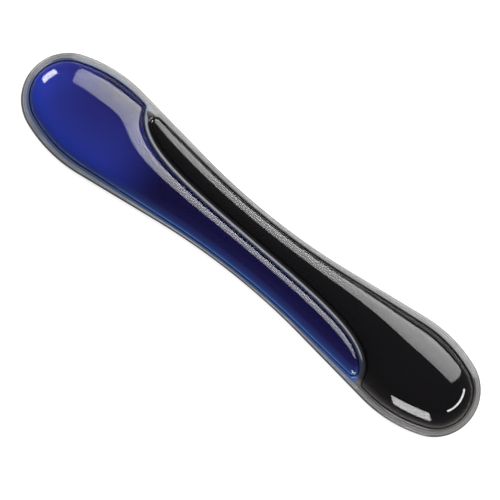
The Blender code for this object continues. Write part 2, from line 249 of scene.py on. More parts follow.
def filled(loops, extra=()):       # triangles inside the first loop and outside the others
    points = [Vector(point) for loop in loops for point in loop] + [Vector(point) for point in extra]
    edges, first = [], 0
    for loop in loops:
        edges += [(first + i, first + (i + 1) % len(loop)) for i in range(len(loop))]
        first += len(loop)
    places, _, faces = delaunay_2d_cdt(points, edges, [], 0, 1e-8)[:3]
    if len(places) != len(points):
        raise ValueError("two points of a plan fell together")
    places, faces = np.array([tuple(place) for place in places]), np.array(faces)
    middle = places[faces].mean(axis=1)
    wanted = insideLoop(middle, loops[0])
    for hole in loops[1:]:
        wanted &= ~insideLoop(middle, hole)
    return places, faces[wanted]


def hexGrid(loop, pitch):
    low, high = loop.min(axis=0), loop.max(axis=0)
    points = []
    for row, y in enumerate(np.arange(low[1], high[1], pitch * math.sqrt(3) / 2)):
        xs = np.arange(low[0] + (row % 2) * pitch / 2, high[0], pitch)
        points.append(np.column_stack((xs, np.full(len(xs), y))))
    points = np.vstack(points)
    points = points[insideLoop(points, loop)]
    return points[gapTo(points, loop)[0] > 0.55 * pitch]


def membraneOver(plan, faces, fixed):
    # a held sheet, by finite elements: how far an even load lifts it, and how it lies unloaded
    corners = plan[faces]
    sides = [corners[:, 2] - corners[:, 1], corners[:, 0] - corners[:, 2], corners[:, 1] - corners[:, 0]]
    doubleArea = np.abs(sides[2][:, 0] * sides[1][:, 1] - sides[2][:, 1] * sides[1][:, 0])
    load = np.bincount(faces.ravel(), np.repeat(doubleArea / 6, 3), len(plan))
    tails, heads, pulls = [], [], []
    for i, j in ((0, 1), (1, 2), (2, 0)):
        tails.append(faces[:, i])
        heads.append(faces[:, j])
        pulls.append((sides[i] * sides[j]).sum(axis=1) / (2 * doubleArea))
    tails, heads, pulls = np.concatenate(tails), np.concatenate(heads), np.concatenate(pulls)
    diagonal = -np.bincount(tails, pulls, len(plan)) - np.bincount(heads, pulls, len(plan))

    def stiffness(x):
        return (diagonal * x + np.bincount(tails, pulls * x[heads], len(plan))
                + np.bincount(heads, pulls * x[tails], len(plan)))

    def settled(force):            # conjugate gradients
        x = np.zeros(len(plan))
        rest = force.copy()
        rest[:fixed] = 0
        step = rest / diagonal
        size = rest.dot(step)
        goal = size * 1e-16
        for _ in range(6000):
            push = stiffness(step)
            push[:fixed] = 0
            share = size / step.dot(push)
            x += share * step
            rest -= share * push
            eased = rest / diagonal
            sizeNow = rest.dot(eased)
            if sizeNow < goal:
                break
            step = eased + (sizeNow / size) * step
            size = sizeNow
        return x

    def drape(edgeHeights):        # the sheet unloaded, held at these heights
        held = np.zeros(len(plan))
        held[:fixed] = edgeHeights
        return settled(-stiffness(held)) + held

    return settled(load), drape


domeForm = {
    "rings": [value * mm for value in (0, 0.12, 0.32, 0.6, 0.95, 1.35, 1.8, 2.4)],
    "gridPitch": 1.3 * mm,
    "wallSlope": 1.73,          # the steepest slope of a gel, at its foot
    "slopeRing": 4, "slopeSpan": 6,     # ring where the lift is read, and how many points it is averaged over
    "sink": 0.9 * mm,           # the gel's own surface lies this far inside the film's
    "easeFrom": 3, "easeRounds": 4,     # first ring whose shading normals are eased, and how often
    "underPitch": 8 * mm,
    "crownRange": (4 * mm, 40 * mm), "crownRounds": 30,     # halving search for the crown that fits
}


def filletOf(loop):                # width and rise of the fillet all along a gel's foot
    depth = gapTo(loop, outline)[0]
    wider = rimForm["filletAtSeam"] - rimForm["filletAtRim"]
    share = smoothStep((depth - rimForm["filletStart"]) / rimForm["filletSpan"])
    run = rimForm["filletAtRim"] + wider * share
    fall = (rimHeight(loop) - rimHeight(moved(loop, -lineStep))) / lineStep
    return run, run * (domeForm["wallSlope"] - fall.clip(-0.5, 0.5)) / 2


def domeSheet(name):
    loop = pocketLines[name]
    kept = np.arange(0, len(loop), 2)
    count = len(kept)
    rings = [moved(loop, inset)[kept] for inset in domeForm["rings"]]
    places, faces = filled([rings[-1]], hexGrid(rings[-1], domeForm["gridPitch"]))
    firstInner = count * (len(rings) - 1)
    ring, index = np.meshgrid(np.arange(len(rings) - 1), np.arange(count), indexing="ij")
    a = (ring * count + index).ravel()
    b = (ring * count + (index + 1) % count).ravel()
    faces = np.vstack((
        faces + firstInner, np.column_stack((a, b, b + count)), np.column_stack((a, b + count, a + count))))
    plan = np.vstack(rings[:-1] + [places])
    run, rise = filletOf(loop)
    lift, drape = membraneOver(plan, faces, count)
    base = drape(rimHeight(rings[0]) + rise[kept])
    lift = lift.clip(0) / lift.max()
    ring = domeForm["slopeRing"]
    steepness = lift[ring * count:(ring + 1) * count] / domeForm["rings"][ring]
    span = range(-domeForm["slopeSpan"], domeForm["slopeSpan"] + 1)
    steepness = np.mean([np.roll(steepness, step) for step in span], axis=0)
    # the crown is a root of the lift, started a little way up so that its foot isn't upright
    reach = steepness / (2 * domeForm["wallSlope"])
    startSquare, start = drape(reach ** 2), drape(reach)

    def parts(crown):
        return crown ** 2 * (lift + crown ** 2 * startSquare), crown ** 2 * start

    low, high = domeForm["crownRange"]
    for _ in range(domeForm["crownRounds"]):
        crown = (low + high) / 2
        swell, toe = parts(crown)
        if (base + np.sqrt(swell) - toe).max() < restTop:
            low = crown
        else:
            high = crown
    swell, toe = parts(low)
    return {"plan": plan, "faces": faces, "count": count, "kept": kept, "loop": loop, "run": run,
            "rise": rise, "base": base, "swell": swell, "toe": toe, "crown": low}


domes = {name: domeSheet(name) for name in ("blue", "smoke")}
print("gel crowns settled, heights", [round(dome["crown"] / mm, 2) for dome in domes.values()], "mm")


# node helpers

def mathNode(tree, operation, first, second=None, third=None, clamp=False):
    node = tree.nodes.new("ShaderNodeMath")
    node.operation = operation
    node.use_clamp = clamp
    for socket, value in zip(node.inputs, (first, second, third)):
        if isinstance(value, bpy.types.NodeSocket):
            tree.links.new(value, socket)
        elif value is not None:
            socket.default_value = value
    return node.outputs[0]


def addNode(tree, kind, inputs=None, **settings):
    node = tree.nodes.new(kind)
    for key, value in settings.items():
        setattr(node, key, value)
    for key, value in (inputs or {}).items():
        if isinstance(value, bpy.types.NodeSocket):
            tree.links.new(value, node.inputs[key])
        else:
            node.inputs[key].default_value = value
    return node


def newGroup(name, kind, inputs, outputs):
    tree = bpy.data.node_groups.new(name, kind)
    for label, socketType, value in inputs:
        socket = tree.interface.new_socket(name=label, in_out="INPUT", socket_type=socketType)
        if value is not None:
            socket.default_value = value
    for label, socketType in outputs:
        tree.interface.new_socket(name=label, in_out="OUTPUT", socket_type=socketType)
    return tree, tree.nodes.new("NodeGroupInput").outputs, tree.nodes.new("NodeGroupOutput").inputs


def geometryTree(name, inputs):
    inputs = [("Geometry", "NodeSocketGeometry", None)] + inputs + [("Finish", "NodeSocketMaterial", None)]
    return newGroup(name, "GeometryNodeTree", inputs, [("Geometry", "NodeSocketGeometry")])


def endTree(tree, geometry, given, result):   # real mesh, finish set
    real = addNode(tree, "GeometryNodeRealizeInstances", {"Geometry": geometry})
    finished = addNode(tree, "GeometryNodeSetMaterial", {
        "Geometry": real.outputs[0], "Material": given["Finish"]})
    tree.links.new(finished.outputs[0], result[0])


def addObject(name, data):
    made = bpy.data.objects.new(name, data)
    bpy.context.scene.collection.objects.link(made)
    return made


def meshObject(name, points, faces, values=None, edges=()):
    mesh = bpy.data.meshes.new(name)
    mesh.from_pydata([tuple(point) for point in points], edges, [tuple(face) for face in faces])
    for key, value in (values or {}).items():
        layer = mesh.attributes.new(key, "FLOAT", "POINT")
        layer.data.foreach_set("value", np.asarray(value, dtype=np.float32))
    return addObject(name, mesh)


def lineObject(name, points, closed=True):
    count = len(points)
    edges = [(i, (i + 1) % count) for i in range(count if closed else count - 1)]
    return meshObject(name, points, [], edges=edges)


def grow(piece, tree, values):     # run a tree on a piece and keep the plain mesh it makes
    modifier = piece.modifiers.new(tree.name, "NODES")
    modifier.node_group = tree
    for item in tree.interface.items_tree:
        if item.item_type == "SOCKET" and item.in_out == "INPUT" and item.name in values:
            modifier[item.identifier] = values[item.name]
    graph = bpy.context.evaluated_depsgraph_get()
    made = bpy.data.meshes.new_from_object(
        piece.evaluated_get(graph), preserve_all_data_layers=True, depsgraph=graph)
    piece.modifiers.remove(modifier)
    piece.data = made
    made.name = piece.name
    return piece


def smoothen(piece, angle=None):
    piece.data.shade_smooth()
    if angle is not None:
        piece.data.set_sharp_from_angle(angle=math.radians(angle))


def easeNormals(piece, free, rounds):
    # average the shading normals of the free points with their neighbours'
    mesh = piece.data
    total = len(mesh.vertices)
    normals = np.empty(total * 3, dtype=np.float32)
    mesh.vertex_normals.foreach_get("vector", normals)
    normals = normals.reshape(-1, 3).astype(float)
    ends = np.empty(len(mesh.edges) * 2, dtype=np.int32)
    mesh.edges.foreach_get("vertices", ends)
    ends = ends.reshape(-1, 2)
    for _ in range(rounds):
        mean = normals.copy()
        for axis in range(3):
            for here, there in ((0, 1), (1, 0)):
                mean[:, axis] += np.bincount(ends[:, here], normals[ends[:, there], axis], total)
        normals[free] = mean[free] / np.linalg.norm(mean[free], axis=1)[:, None]
    mesh.normals_split_custom_set_from_vertices([tuple(normal) for normal in normals])


def place(piece, slotName, nodeName):
    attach(piece, "root")
    if nodeName:
        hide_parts(nodeName)


# shader groups

def mixColour(tree, factor, first, second):
    mix = tree.nodes.new("ShaderNodeMix")
    mix.data_type = "RGBA"
    for socket, value in ((mix.inputs[0], factor), (mix.inputs[6], first), (mix.inputs[7], second)):
        if isinstance(value, bpy.types.NodeSocket):
            tree.links.new(value, socket)
        else:
            socket.default_value = value if isinstance(value, float) else (*value, 1)
    return mix.outputs[2]


def buildFilmSurface():            # faint waviness and handling marks of a soft formed surface
    tree, given, result = newGroup("filmSurface", "ShaderNodeTree", [
        ("Wave Scale", "NodeSocketFloat", 45.0), ("Pebble Scale", "NodeSocketFloat", 900.0),
        ("Pebble Share", "NodeSocketFloat", 0.25), ("Smudge Scale", "NodeSocketFloat", 30.0),
        ("Low Roughness", "NodeSocketFloat", 0.04), ("High Roughness", "NodeSocketFloat", 0.09),
    ], [("Height", "NodeSocketFloat"), ("Roughness", "NodeSocketFloat"), ("Smudge", "NodeSocketFloat")])
    spot = addNode(tree, "ShaderNodeTexCoord").outputs["Object"]
    wave = addNode(tree, "ShaderNodeTexNoise", {"Vector": spot, "Scale": given["Wave Scale"], "Detail": 2.0})
    pebble = addNode(tree, "ShaderNodeTexNoise", {
        "Vector": spot, "Scale": given["Pebble Scale"], "Detail": 3.0})
    smudge = addNode(tree, "ShaderNodeTexNoise", {
        "Vector": spot, "Scale": given["Smudge Scale"], "Detail": 6.0, "Roughness": 0.62, "Distortion": 0.6})
    fine = mathNode(tree, "MULTIPLY", pebble.outputs["Fac"], given["Pebble Share"])
    tree.links.new(mathNode(tree, "ADD", wave.outputs["Fac"], fine), result["Height"])
    mask = addNode(tree, "ShaderNodeMapRange", {
        "Value": smudge.outputs["Fac"], "From Min": 0.42, "From Max": 0.68,
    }, interpolation_type="SMOOTHSTEP").outputs[0]
    rough = addNode(tree, "ShaderNodeMapRange", {
        "Value": mask, "To Min": given["Low Roughness"], "To Max": given["High Roughness"]}).outputs[0]
    tree.links.new(rough, result["Roughness"])
    tree.links.new(mask, result["Smudge"])
    return tree


def buildDustSpecks():             # sparse pale specks that settle on flat faces
    tree, given, result = newGroup("dustSpecks", "ShaderNodeTree", [
        ("Colour", "NodeSocketColor", (0.5, 0.5, 0.5, 1)),
        ("Dust Colour", "NodeSocketColor", (0.5, 0.49, 0.47, 1)), ("Scale", "NodeSocketFloat", 420.0),
        ("Size", "NodeSocketFloat", 0.07), ("Amount", "NodeSocketFloat", 0.5),
    ], [("Colour", "NodeSocketColor"), ("Mask", "NodeSocketFloat")])
    spot = addNode(tree, "ShaderNodeTexCoord").outputs["Object"]
    cells = addNode(tree, "ShaderNodeTexVoronoi", {"Vector": spot, "Scale": given["Scale"]})
    near = mathNode(tree, "LESS_THAN", cells.outputs["Distance"], given["Size"])
    few = addNode(tree, "ShaderNodeTexNoise", {"Vector": spot, "Scale": 60.0, "Detail": 2.0}).outputs["Fac"]
    few = mathNode(tree, "GREATER_THAN", few, 0.6)
    mask = mathNode(tree, "MULTIPLY", mathNode(tree, "MULTIPLY", near, few), given["Amount"])
    tree.links.new(mixColour(tree, mask, given["Colour"], given["Dust Colour"]), result["Colour"])
    tree.links.new(mask, result["Mask"])
    return tree


filmSurface = buildFilmSurface()
dustSpecks = buildDustSpecks()


def newMaterial(name, colour, roughness, **sockets):
    material = bpy.data.materials.new(name)
    material.use_nodes = True
    material.diffuse_color = (*colour, 1)
    shader = material.node_tree.nodes["Principled BSDF"]
    shader.inputs["Base Color"].default_value = (*colour, 1)
    shader.inputs["Roughness"].default_value = roughness
    for key, value in sockets.items():
        shader.inputs[key.replace("_", " ")].default_value = value
    return material, material.node_tree, shader


def useGroup(tree, group, **values):
    node = tree.nodes.new("ShaderNodeGroup")
    node.node_tree = group
    for key, value in values.items():
        socket = node.inputs[key.replace("_", " ")]
        if isinstance(value, bpy.types.NodeSocket):
            tree.links.new(value, socket)
        else:
            socket.default_value = value
    return node.outputs


def dress(tree, shader, surface, colour, relief=0.0, depth=1 * mm):
    tree.links.new(colour, shader.inputs["Base Color"])
    tree.links.new(surface["Roughness"], shader.inputs["Roughness"])
    if relief:
        bump = addNode(tree, "ShaderNodeBump", {
            "Height": surface["Height"], "Strength": relief, "Distance": depth})
        tree.links.new(bump.outputs[0], shader.inputs["Normal"])


def attribute(tree, name):
    return addNode(tree, "ShaderNodeAttribute", attribute_name=name, attribute_type="GEOMETRY").outputs["Fac"]


def colourRamp(tree, factor, stops):
    ramp = tree.nodes.new("ShaderNodeValToRGB")
    tree.links.new(factor, ramp.inputs[0])
    elements = ramp.color_ramp.elements
    while len(elements) < len(stops):
        elements.new(0.5)
    for element, (position, colour) in zip(elements, stops):
        element.position = position
        element.color = (*colour, 1)
    return ramp.outputs[0]


# blue gel

blueGel = {
    "deepRoughness": 0.05, "waviness": 0.005,
    # the gel's own blue with painted light, against distance from the wall on the user's side: a painted glow
    # near that wall, painted shade further from it
    "bulbReach": 70 * mm,
    "bulbBlueAndGlowStops": [
        (0.0, (0.030, 0.045, 0.17)), (0.05, (0.016, 0.036, 0.30)), (0.10, (0.0155, 0.034, 0.34)),
        (0.19, (0.0175, 0.030, 0.29)), (0.30, (0.0150, 0.0235, 0.21)), (0.49, (0.012, 0.0155, 0.14)),
        (0.72, (0.0098, 0.0098, 0.097)), (0.95, (0.0042, 0.0037, 0.035)),
    ],
    # the same in the long finger, with a painted bright caustic line close to the wall
    "fingerReach": 26 * mm,
    "fingerBlueAndGlowStops": [
        (0.0, (0.045, 0.13, 0.44)), (0.035, (0.066, 0.165, 0.52)), (0.07, (0.027, 0.07, 0.31)),
        (0.10, (0.018, 0.045, 0.21)), (0.17, (0.017, 0.027, 0.135)), (0.32, (0.006, 0.0047, 0.053)),
        (0.58, (0.0022, 0.0009, 0.029)), (1.0, (0.0013, 0.0005, 0.0215)),
    ],
}


def buildBlueMaterial():
    material, tree, shader = newMaterial("blueGel", (0.025, 0.035, 0.25), blueGel["deepRoughness"], IOR=1.5)
    near = attribute(tree, "near")
    # painted light: the ramps brighten the blue towards the user's wall and darken it away from it
    bulb = colourRamp(tree, mathNode(tree, "DIVIDE", near, blueGel["bulbReach"]), blueGel["bulbBlueAndGlowStops"])
    finger = colourRamp(tree, mathNode(tree, "DIVIDE", near, blueGel["fingerReach"]), blueGel["fingerBlueAndGlowStops"])
    colour = mixColour(tree, attribute(tree, "bulb"), finger, bulb)
    surface = useGroup(tree, filmSurface, Low_Roughness=0.03, High_Roughness=0.06)
    dress(tree, shader, surface, colour, blueGel["waviness"])
    return material


# smoke gel

smokeGel = {
    "waviness": 0.005, "reach": 14 * mm,
    # colour against distance from the rim, with painted light: lighter towards the rim, where the gel is thin
    # and light would show through; the far-side stops are a darker copy, painted shade
    "nearLitStops": [
        (0.0, (0.075, 0.07, 0.066)), (0.12, (0.062, 0.058, 0.055)), (0.23, (0.033, 0.030, 0.029)),
        (0.36, (0.013, 0.011, 0.0115)), (0.5, (0.007, 0.0055, 0.006)), (1.0, (0.0022, 0.0018, 0.0022)),
    ],
    "farShadedStops": [
        (0.0, (0.018, 0.017, 0.017)), (0.08, (0.013, 0.012, 0.012)), (0.2, (0.008, 0.007, 0.0075)),
        (0.3, (0.006, 0.005, 0.0055)), (0.6, (0.0035, 0.0028, 0.0032)), (1.0, (0.0022, 0.0018, 0.0022)),
    ],
}


def buildSmokeMaterial():
    material, tree, shader = newMaterial("smokeGel", (0.007, 0.006, 0.007), 0.05, IOR=1.5)
    share = mathNode(tree, "DIVIDE", attribute(tree, "rimGap"), smokeGel["reach"])
    # painted light and shade: the lit ramp on the user's side, the shaded ramp towards the keyboard
    near = colourRamp(tree, share, smokeGel["nearLitStops"])
    far = colourRamp(tree, share, smokeGel["farShadedStops"])
    colour = mixColour(tree, attribute(tree, "farSide"), near, far)
    surface = useGroup(tree, filmSurface, Low_Roughness=0.03, High_Roughness=0.06)
    dress(tree, shader, surface, colour, smokeGel["waviness"])
    return material


# heights by rule: foot, fillet and crown

def buildCrownTree():
    tree, given, result = geometryTree("crownedFilm", [("Bottom", "NodeSocketFloat", 0.0)])

    def named(name):
        node = addNode(tree, "GeometryNodeInputNamedAttribute", {"Name": name}, data_type="FLOAT")
        return node.outputs["Attribute"]

    crown = mathNode(tree, "SUBTRACT", mathNode(tree, "SQRT", named("swell")), named("toe"))
    height = mathNode(tree, "ADD", mathNode(tree, "ADD", named("foot"), named("rise")), crown)
    flat = named("flat")
    height = mathNode(tree, "MULTIPLY", height, mathNode(tree, "SUBTRACT", 1.0, flat))
    height = mathNode(tree, "MULTIPLY_ADD", flat, given["Bottom"], height)
    position = addNode(tree, "GeometryNodeInputPosition").outputs[0]
    spot = addNode(tree, "ShaderNodeSeparateXYZ", {"Vector": position})
    risen = addNode(tree, "ShaderNodeCombineXYZ", {"X": spot.outputs[0], "Y": spot.outputs[1], "Z": height})
    raised = addNode(tree, "GeometryNodeSetPosition", {
        "Geometry": given["Geometry"], "Position": risen.outputs[0]})
    across = addNode(tree, "ShaderNodeVectorMath", {
        0: addNode(tree, "GeometryNodeInputNormal").outputs[0]}, operation="SCALE")
    tree.links.new(named("sink"), across.inputs["Scale"])
    sunk = addNode(tree, "GeometryNodeSetPosition", {
        "Geometry": raised.outputs[0], "Offset": across.outputs[0]})
    endTree(tree, sunk.outputs[0], given, result)
    return tree


crownTree = buildCrownTree()


gelMasks = {
    "userFacing": 0.3,          # a wall turned to the user by more than this counts as the user's side
    # across the smoke gel, from its painted lit colour to its painted shaded copy
    "farFrom": -12 * mm, "farSpan": 24 * mm,        # across, from the user's side to the keyboard side
    "bulbFrom": 85 * mm, "bulbSpan": 65 * mm,       # along, from the finger to the blue bulb
}


def band(lower, upper):            # quads between two rings of point numbers
    return np.column_stack((lower, np.roll(lower, -1), np.roll(upper, -1), upper))


def makeGel(name, nodeName, colour, material):
    dome = domes[colour]
    count, plan = dome["count"], dome["plan"]
    bottom = moved(dome["loop"], domeForm["sink"])[dome["kept"]]
    places, under = filled([bottom], hexGrid(bottom, domeForm["underPitch"]))
    total, extra = len(plan), len(places)
    top = np.arange(count)
    faces = [tuple(face) for face in dome["faces"]]
    faces += [tuple(face) for face in band(total + top, top)]
    faces += [tuple(face) for face in under[:, ::-1] + total]
    both = np.vstack((plan, places))
    zeros = np.zeros(extra)
    userWall = dome["loop"][leftOf(dome["loop"])[:, 1] > gelMasks["userFacing"]]
    piece = meshObject(name, np.column_stack((both, np.zeros(len(both)))), faces, {
        "foot": np.concatenate((dome["base"], zeros)), "rise": np.zeros(len(both)),
        "swell": np.concatenate((dome["swell"], zeros)), "toe": np.concatenate((dome["toe"], zeros)),
        "sink": np.repeat((-domeForm["sink"], 0), (total, extra)), "flat": np.repeat((0, 1), (total, extra)),
        "near": gapTo(both, userWall)[0], "rimGap": gapTo(both, wallLine)[0],
        # which of the smoke gel's painted lit and shaded colours a point takes
        "farSide": smoothStep((both[:, 1] - gelMasks["farFrom"]) / gelMasks["farSpan"]),
        "bulb": smoothStep((-both[:, 0] - gelMasks["bulbFrom"]) / gelMasks["bulbSpan"]),
    })
    grow(piece, crownTree, {"Bottom": skinBottom, "Finish": material})
    smoothen(piece)
    easeNormals(piece, slice(domeForm["easeFrom"] * count, total), domeForm["easeRounds"])
    place(piece, nodeName, nodeName)
    return piece


blueBody = makeGel("blue_gel_body", "blue_gel", "blue", buildBlueMaterial())
smokeBody = makeGel("smoke_gel_body", "smoke_gel", "smoke", buildSmokeMaterial())
print("gel bodies made,", len(blueBody.data.polygons) + len(smokeBody.data.polygons), "faces")


# formed film over both gels

filmLook = {
    "wallShadeColour": (0.012, 0.011, 0.013), "open": (0.10, 0.098, 0.095), "roughness": 0.1,
    "paintedBlueGlow": (0.025, 0.085, 0.30), "domeColour": (0.006, 0.006, 0.007), "domeAlpha": 0.07,
    # painted shade: the film darkens towards the gels' walls over this reach; on the user's side it stays
    # painted lit up to the wall
    "wallShadeReach": 4.0 * mm, "userLitAtWall": 0.95,
    # painted shade over the strip between the gels: darker further in from the outline
    "innerShade": 0.9, "innerShadeFrom": 6.5 * mm, "innerShadeSpan": 5 * mm,
    "userFrom": 4 * mm, "userSpan": 20 * mm,        # across, where the user's side ends
    # the painted blue glow, light from the blue gel painted onto the film: its reach, longer towards the tip,
    # and weaker at the bulb, at the seam and on far walls
    "glowReach": 3.0 * mm, "tipGain": 1.2, "tipFrom": 60 * mm, "tipSpan": 50 * mm,
    "bulbShare": 0.75, "bulbFrom": -160 * mm, "bulbSpan": 50 * mm, "facingFrom": -0.1, "facingSpan": 0.7,
    "seamShare": 0.12, "rimGain": 0.18, "rimFrom": 7 * mm, "rimSpan": 4 * mm,
}


def buildRimMaterial():
    material, tree, shader = newMaterial("rimFilm", filmLook["open"], filmLook["roughness"], IOR=1.5)
    surface = useGroup(tree, filmSurface, Wave_Scale=120.0, Low_Roughness=0.06, High_Roughness=0.13)
    # painted shade and light: dark next to the gel walls and between the gels, lit on the user's side
    plain = mixColour(tree, attribute(tree, "haze"), filmLook["wallShadeColour"], filmLook["open"])
    # painted light: a blue glow on the film beside the blue gel
    withPaintedGlow = mixColour(tree, attribute(tree, "tint"), plain, filmLook["paintedBlueGlow"])
    dusty = useGroup(tree, dustSpecks, Colour=withPaintedGlow, Amount=0.25)
    dress(tree, shader, surface, dusty["Colour"], 0.03)
    return material


def buildDomeFilmMaterial():
    material, tree, shader = newMaterial(
        "domeFilm", filmLook["domeColour"], 0.05, IOR=1.5, Alpha=filmLook["domeAlpha"])
    surface = useGroup(tree, filmSurface, Low_Roughness=0.03, High_Roughness=0.08)
    tree.links.new(surface["Roughness"], shader.inputs["Roughness"])
    return material


def makeSkin():
    outer, faces, values = [], [], {key: [] for key in ("foot", "rise", "swell", "toe", "sink", "flat")}
    filmFaces = []

    def addPoints(plan, **given):
        first = sum(len(part) for part in outer)
        outer.append(plan)
        for key, held in values.items():
            held.append(np.broadcast_to(np.asarray(given.get(key, 0.0), dtype=float), (len(plan),)))
        return first + np.arange(len(plan))

    mouths, feet = [], []
    for dome in domes.values():
        common = {"foot": dome["base"], "swell": dome["swell"], "toe": dome["toe"]}
        top = addPoints(dome["plan"], **common)
        lining = addPoints(dome["plan"], **common, sink=rimForm["lining"])
        filmFaces.append((len(faces), len(faces) + 2 * len(dome["faces"])))
        faces.extend(top[dome["faces"]])
        faces.extend(lining[dome["faces"][:, ::-1]])
        loop, kept, count = dome["loop"], dome["kept"], dome["count"]
        ring = top[:count]
        for part in range(1, rimForm["filletRings"] + 1):
            out = part / rimForm["filletRings"]
            plan = moved(loop, -dome["run"] * out)[kept]
            lower = addPoints(plan, foot=rimHeight(plan), rise=dome["rise"][kept] * (1 - out) ** 2)
            faces.extend(band(lower, ring))
            ring = lower
        feet.append((ring, outer[-1]))
        mouthPlan = moved(loop, rimForm["lining"])[kept]
        mouth = addPoints(mouthPlan, flat=1.0)
        faces.extend(band(lining[:count], mouth))
        mouths.append((mouth, mouthPlan))

    edge = evenly(moved(outline, rimForm["edgeInset"]), 1 * mm)
    rings = [(addPoints(edge, flat=1.0), edge)]
    for inset, drop in rimForm["edgeSteps"]:
        plan = moved(edge, inset)
        rings.append((addPoints(plan, foot=rimHeight(plan) + drop), plan))
    for (lower, _), (upper, _) in zip(rings, rings[1:]):
        faces.extend(band(lower, upper))

    def clearOfGels(points, gap):
        clear = np.ones(len(points), dtype=bool)
        for _, plan in feet:
            clear &= ~insideLoop(points, plan) & (gapTo(points, plan)[0] > gap)
        return points[clear]

    extra = []
    for inset in rimForm["outerRings"]:
        line = evenly(moved(outline, rimForm["edgeInset"] + inset), 1 * mm)
        extra.append(clearOfGels(line, rimForm["ringGap"]))
    extra = np.vstack(extra)
    between = hexGrid(outline, rimForm["gridPitch"])
    between = between[gapTo(between, np.vstack((rings[-1][1], extra)))[0] > rimForm["gridToRing"]]
    extra = np.vstack((extra, clearOfGels(between, rimForm["gridGap"])))
    loops = [rings[-1], *feet]
    found = filled([plan for _, plan in loops], extra)[1]
    numbers = np.concatenate([ids for ids, _ in loops] + [addPoints(extra, foot=rimHeight(extra))])
    faces.extend(numbers[found])

    loops = [rings[0], *mouths]
    found = filled([plan for _, plan in loops])[1]
    faces.extend(np.concatenate([ids for ids, _ in loops])[found][:, ::-1])

    plan = np.vstack(outer)
    values = {key: np.concatenate(held) for key, held in values.items()}
    toBlue, blueAt = gapTo(plan, domes["blue"]["loop"])
    toSmoke = gapTo(plan, domes["smoke"]["loop"])[0]
    depth = gapTo(plan, outline)[0]
    look = filmLook
    # painted shade further in from the outline, over the strip between the gels
    clearOfInnerShade = 1 - look["innerShade"] * smoothStep((depth - look["innerShadeFrom"]) / look["innerShadeSpan"])
    # painted shade next to the gels' walls, kept lit on the user's side
    clearance = smoothStep(np.minimum(toBlue, toSmoke) / look["wallShadeReach"])
    userSide = 1 - smoothStep((plan[:, 1] - look["userFrom"]) / look["userSpan"])
    values["haze"] = (clearance + (1 - clearance) * look["userLitAtWall"] * userSide) * clearOfInnerShade
    # the painted blue glow: strongest on walls turned to the user, weaker at the bulb, the seam and far
    # walls, longer towards the tip
    facing = leftOf(domes["blue"]["loop"])[blueAt, 1]
    offBulb = smoothStep((plan[:, 0] - look["bulbFrom"]) / look["bulbSpan"])
    side = smoothStep((facing - look["facingFrom"]) / look["facingSpan"])
    side *= look["bulbShare"] + (1 - look["bulbShare"]) * offBulb
    atTip = smoothStep((plan[:, 0] - look["tipFrom"]) / look["tipSpan"])
    reach = look["glowReach"] * (1 + look["tipGain"] * atTip)
    atRim = 1 - smoothStep((depth - look["rimFrom"]) / look["rimSpan"])
    least = look["seamShare"] + look["rimGain"] * atRim
    values["tint"] = np.exp(-toBlue / reach) * (toBlue < toSmoke) * (least + (1 - least) * side)
    piece = meshObject("formed_film", np.column_stack((plan, np.zeros(len(plan)))), faces, values)
    grow(piece, crownTree, {"Bottom": skinBottom, "Finish": buildRimMaterial()})
    piece.data.materials.append(buildDomeFilmMaterial())
    which = np.zeros(len(piece.data.polygons), dtype=np.int32)
    for start, stop in filmFaces:
        which[start:stop] = 1
    piece.data.polygons.foreach_set("material_index", which)
    smoothen(piece, 50)
    place(piece, "clear_film", "clear_skin")
    return piece


skin = makeSkin()
print("film made,", len(skin.data.polygons), "faces")


# fine lines of the rim, swept round it

rimLines = {
    # share of the way in from the edge to the gels, and radius
    "lines": {"rim_bead": (0.2, 0.34 * mm), "rim_step_1": (0.42, 0.17 * mm), "rim_step_2": (0.56, 0.17 * mm),
              "rim_step_3": (0.70, 0.17 * mm)},
    "start": 0.25 * mm, "raise": 0.02 * mm, "spacing": 1.6 * mm, "sides": 8,
}


def buildSweepTree():
    tree, given, result = geometryTree("lineSweep", [
        ("Radius", "NodeSocketFloat", 0.0), ("Spacing", "NodeSocketFloat", 0.0),
        ("Sides", "NodeSocketInt", 8),
    ])
    path = addNode(tree, "GeometryNodeMeshToCurve", {"Mesh": given["Geometry"]})
    spaced = addNode(tree, "GeometryNodeResampleCurve", {
        "Curve": path.outputs[0], "Length": given["Spacing"]}, mode="LENGTH")
    section = addNode(tree, "GeometryNodeCurvePrimitiveCircle", {
        "Resolution": given["Sides"], "Radius": given["Radius"]})
    swept = addNode(tree, "GeometryNodeCurveToMesh", {
        "Curve": spaced.outputs[0], "Profile Curve": section.outputs[0], "Fill Caps": True})
    endTree(tree, swept.outputs[0], given, result)
    return tree


def buildBeadMaterial():
    material, tree, shader = newMaterial("rimBead", (0.24, 0.235, 0.23), 0.15, IOR=1.5)
    surface = useGroup(tree, filmSurface, Wave_Scale=160.0, Low_Roughness=0.1, High_Roughness=0.22)
    plain = mixColour(tree, surface["Smudge"], (0.26, 0.255, 0.25), (0.2, 0.196, 0.19))
    dress(tree, shader, surface, plain, 0.1)
    return material


def makeRimLines():
    tree = buildSweepTree()
    finish = buildBeadMaterial()
    free = gapTo(outline, wallLine)[0] - rimForm["edgeInset"] - rimForm["filletAtRim"]
    for name, (share, radius) in rimLines["lines"].items():
        line = moved(outline, rimForm["edgeInset"] + rimLines["start"] + share * free)[::2]
        piece = lineObject(name, np.column_stack((line, rimHeight(line) + rimLines["raise"])))
        grow(piece, tree, {
            "Radius": radius, "Spacing": rimLines["spacing"], "Sides": rimLines["sides"], "Finish": finish})
        smoothen(piece)
        place(piece, "clear_film", None)


makeRimLines()
print("rim lines swept:", list(rimLines["lines"]))


# flat layers

